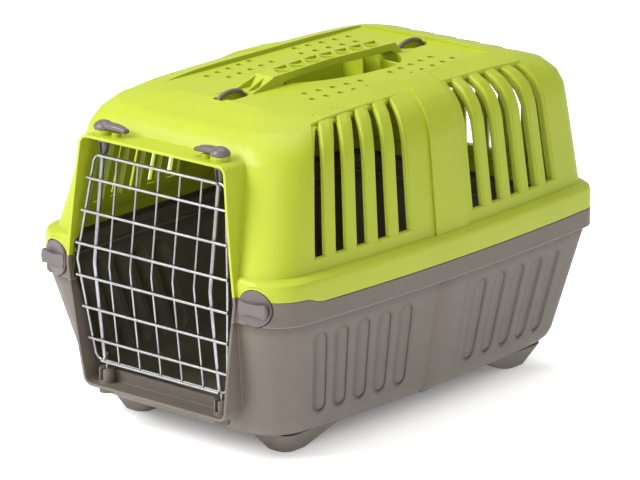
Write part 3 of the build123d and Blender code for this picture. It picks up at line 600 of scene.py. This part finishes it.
# Handle roots: thin webs that carry the grip's load into the roof, moulded in one with the
# lid. Three ribs run down the front root, one of them on past the strap ring, and a web
# stands on each side of the well at the rear.
WEB = 0.0024                    # thickness of a web
WEB_ROUND = 0.28                # its top edges are rounded by this share of that
WEB_FLAT = 0.0002               # but stay sharp where it is lower than this
ROOT_Z = 0.3492                 # the ribs stand in the deck by a little
ROOT_START = -0.083             # the front root runs from the grip here
ROOT_END = -0.122               # to its foot here
ROOT_HALF = 0.0113              # its outer ribs stand this far from the middle
ROOT_HALF_END = 0.0125          # and at its foot this far
ROOT_RISE = 0.0125              # height of the ribs at the grip
ROOT_RISE_END = 0.0012          # and at the foot
WELL_Y = 0.087                  # the webs beside the well
WELL_Z = 0.318
WELL_RISE = 0.0295
WELL_INNER = 0.012              # reach from here
WELL_OUTER = 0.0415             # to here, on both sides


def bar(shape, start, end, width, height, end_height):
    """Upright-sided bar between two points on its underside, with its top edges rounded."""
    start, end = Vector(start), Vector(end)
    across = (end - start).cross(Vector((0, 0, 1))).normalized() * width / 2
    ends = []
    for place, top in ((start, Vector((0, 0, height))), (end, Vector((0, 0, end_height)))):
        corners = (place + across, place - across, place - across + top, place + across + top)
        ends.append(shape.faces.new([shape.verts.new(corner) for corner in corners]))
    outline = [edge for face in ends for edge in face.edges]
    walls = bmesh.ops.bridge_loops(shape, edges=outline)["faces"]
    rails = [
        edge for edge in dict.fromkeys(edge for wall in walls for edge in wall.edges)
        if sum(vert in ends[0].verts for vert in edge.verts) == 1
        and min(vert.co.z for vert in edge.verts) > min(start.z, end.z) + WEB_FLAT
    ]
    bmesh.ops.bevel(
        shape, geom=rails, offset=width * WEB_ROUND, segments=3, profile=0.5, affect="EDGES", material=-1
    )


webs = bmesh.new()
for side in (-1, 1):
    start = (side * ROOT_HALF, ROOT_START, ROOT_Z)
    bar(webs, start, (side * ROOT_HALF_END, ROOT_END, ROOT_Z), WEB, ROOT_RISE, ROOT_RISE_END)
    start = (side * WELL_INNER, WELL_Y, WELL_Z)
    bar(webs, start, (side * WELL_OUTER, WELL_Y, WELL_Z), WEB, WELL_RISE, WELL_RISE)
# the thinner middle rib, and the low end of the left one, on past the strap ring
bar(webs, (0, ROOT_START, ROOT_Z), (0.001, -0.115, ROOT_Z), 0.0022, 0.0122, ROOT_RISE_END)
bar(webs, (-0.0125, -0.12, ROOT_Z), (-0.018, -0.152, ROOT_Z), 0.0026, 0.0022, 0.001)
piece("handle_webs", webs, lime, "lid")

# Knobs, cams, levers and cups: small mouldings in grey plastic with a purple tinge, a little
# glossier than the shells; knobs and levers are snapped onto their stems.
MAUVE = (0.118, 0.095, 0.097)
MAUVE_DEEP = (0.099, 0.081, 0.084)
MAUVE_PALE = (0.23, 0.19, 0.195)
mauve = moulded("mauve plastic", MAUVE, MAUVE_DEEP, MAUVE_PALE, 0.36, 0.00003)
for side in ("left", "right"):
    for part in ("latch_knob", "latch_cam", "door_lever", "lever_cup"):
        wear(f"{part}_{side}", mauve)

# Strap rings: smooth arches of round rod, moulded in the same plastic; their straight ends
# snap into the walls of the pockets, so the rings fold down sideways.
RING_STUB = 0.005               # straight end in the pocket's wall
RING_STEPS = 24
RING_FULLNESS = 0.62            # under 1 the arch is fuller than an ellipse
RING_SIDES = 14
turns = [2 * math.pi * side / RING_SIDES for side in range(RING_SIDES)]
for end in ("front", "rear"):
    wear(f"strap_ring_{end}", mauve)
    low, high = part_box(f"strap_ring_{end}")
    thick = (high[0] - low[0]) / 2
    middle = Vector(((low[0] + high[0]) / 2, (low[1] + high[1]) / 2, low[2] + thick))
    reach = (high[1] - low[1]) / 2
    rise = high[2] - low[2] - 2 * thick
    route = [middle - Vector((0, reach, 0))]
    for step in range(RING_STEPS + 1):
        turn = math.pi * step / RING_STEPS
        up = rise * max(math.sin(turn), 0) ** RING_FULLNESS
        route.append(middle + Vector((0, -(reach - RING_STUB) * math.cos(turn), up)))
    route.append(middle + Vector((0, reach, 0)))
    sections = []
    for index, place in enumerate(route):
        out = heading(route, index).cross(Vector((1, 0, 0)))
        sections.append([
            place + Vector((1, 0, 0)) * thick * math.cos(turn) + out * thick * math.sin(turn)
            for turn in turns
        ])
    arch = bmesh.new()
    swept(arch, sections)
    for face in arch.faces:
        face.smooth = len(face.verts) < RING_SIDES
    made = piece(f"ring_arch_{end}", arch, mauve, f"ring_{end}")
    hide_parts(f"strap_ring_{end}")

# Position marks of the locks: small raised dashes on the skirt over each knob, moulded in
# one with the lid, which show how far the knob is turned.
MARK_X = 0.1377                 # middle of each row
MARK_Z = 0.1995
MARK_PITCH = 0.0033
MARK_WIDTH = 0.0011
MARK_HEIGHT = 0.0019
MARK_TAPER = 0.0003             # each next mark from the middle is this much lower
MARK_RISE = 0.0009
MARK_ROUND = 0.0002
marks = bmesh.new()
for side in (-1, 1):
    for turn in range(-2, 3):
        start = Vector((side * (MARK_X + turn * MARK_PITCH), -BEHIND, MARK_Z))
        _, place, normal, _ = lid_solid.ray_cast(start, Vector((0, 1, 0)))
        tilt = normal.to_track_quat("Z", "Y").to_matrix().to_4x4()
        size = Matrix.Diagonal((MARK_WIDTH, MARK_HEIGHT - abs(turn) * MARK_TAPER, MARK_RISE, 1))
        bmesh.ops.create_cube(marks, size=1, matrix=Matrix.Translation(place) @ tilt @ size)
bmesh.ops.bevel(
    marks, geom=marks.edges[:], offset=MARK_ROUND, segments=2, profile=0.5, affect="EDGES", material=-1
)
piece("lock_marks", marks, lime, "lid")

# Door wires: drawn steel wire, spot-welded and then zinc-plated bright, with the fine
# spangle and the duller streaks that plating leaves.
ZINC = (0.43, 0.43, 0.44)
ZINC_SPANGLE = (0.31, 0.31, 0.325)
ZINC_DULL = (0.2, 0.2, 0.21)
STREAKS = 30.0                  # how fine each pattern is, in spots per metre
SPANGLE = 240.0
DRAWING = 900.0                 # marks of the die that the wire was drawn through
DRAWING_DEPTH = 0.00002
zinc = bpy.data.materials.new("zinc wire")
zinc.use_nodes = True
zinc_tree = zinc.node_tree
zinc_bsdf = zinc_tree.nodes["Principled BSDF"]
zinc_bsdf.inputs["Metallic"].default_value = 1
zinc_point = object_point(zinc_tree)
spangle = noise(zinc_tree, zinc_point, SPANGLE, 3.0)
dull = mapped(zinc_tree, noise(zinc_tree, zinc_point, STREAKS, 5.0, 0.65), 0.45, 0.7)
zinc_shade = blended(zinc_tree, spangle, ZINC, ZINC_SPANGLE)
zinc_shade = blended(zinc_tree, product(zinc_tree, dull, 0.5), zinc_shade, ZINC_DULL)
zinc_tree.links.new(zinc_shade, zinc_bsdf.inputs["Base Color"])
zinc_matt = chain(
    zinc_tree, mapped(zinc_tree, spangle, 0.3, 0.7, 0.28, 0.4), ("ADD", product(zinc_tree, dull, 0.16))
)
zinc_tree.links.new(zinc_matt, zinc_bsdf.inputs["Roughness"])
drawn = relief(zinc_tree, noise(zinc_tree, zinc_point, DRAWING, 2.0), 0.12, DRAWING_DEPTH)
zinc_tree.links.new(drawn, zinc_bsdf.inputs["Normal"])
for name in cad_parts:
    if "wire" in name or "door_rod" in name:
        wear(name, zinc)

# Spot welds: the flattened beads at the crossings of the door, where the electrodes pressed
# the hot wires into each other before the door was plated.
CROSS_WIRES = 8
UPRIGHT_WIRES = 5
END_INSET = 0.0012              # at the first and last cross wire the beads lie this far inside
FRAME_SIDE = 0.0027             # the frame's side lies this far inside a cross wire's end
FRAME_BEHIND = 0.0015           # and its beads this far behind it
FRAME_BEAD = 0.0019
BEAD_DEPTH = 0.75               # a bead is this share of its width in depth
BEAD_HEIGHT = 0.85              # and this share in height
welds = bmesh.new()


def weld(x, y, z, radius):
    """One bead, flattened between its two wires."""
    size = Matrix.Diagonal((radius, radius * BEAD_DEPTH, radius * BEAD_HEIGHT, 1))
    spot = Matrix.Translation((x, y, z)) @ size
    bmesh.ops.create_icosphere(welds, subdivisions=2, radius=1, matrix=spot)


# each wire behind the cross wires, with how far behind them its beads lie and their radius
uprights = [(f"upright_wire_{number + 1}", 0.0014, 0.0017) for number in range(UPRIGHT_WIRES)]
uprights += [(f"door_rod_{hand}", 0.0017, 0.0024) for hand in ("left", "right")]
for number in range(1, CROSS_WIRES + 1):
    low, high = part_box(f"cross_wire_{number}")
    y, z = (low[1] + high[1]) / 2, (low[2] + high[2]) / 2
    inward = END_INSET * ((number == 1) - (number == CROSS_WIRES))
    for name, behind, radius in uprights:
        wire_low, wire_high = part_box(name)
        weld((wire_low[0] + wire_high[0]) / 2, y + behind, z + inward, radius)
    if 1 < number < CROSS_WIRES:
        for x in (low[0] + FRAME_SIDE, high[0] - FRAME_SIDE):
            weld(x, y + FRAME_BEHIND, z, FRAME_BEAD)
for face in welds.faces:
    face.smooth = True
piece("spot_welds", welds, zinc, "door")
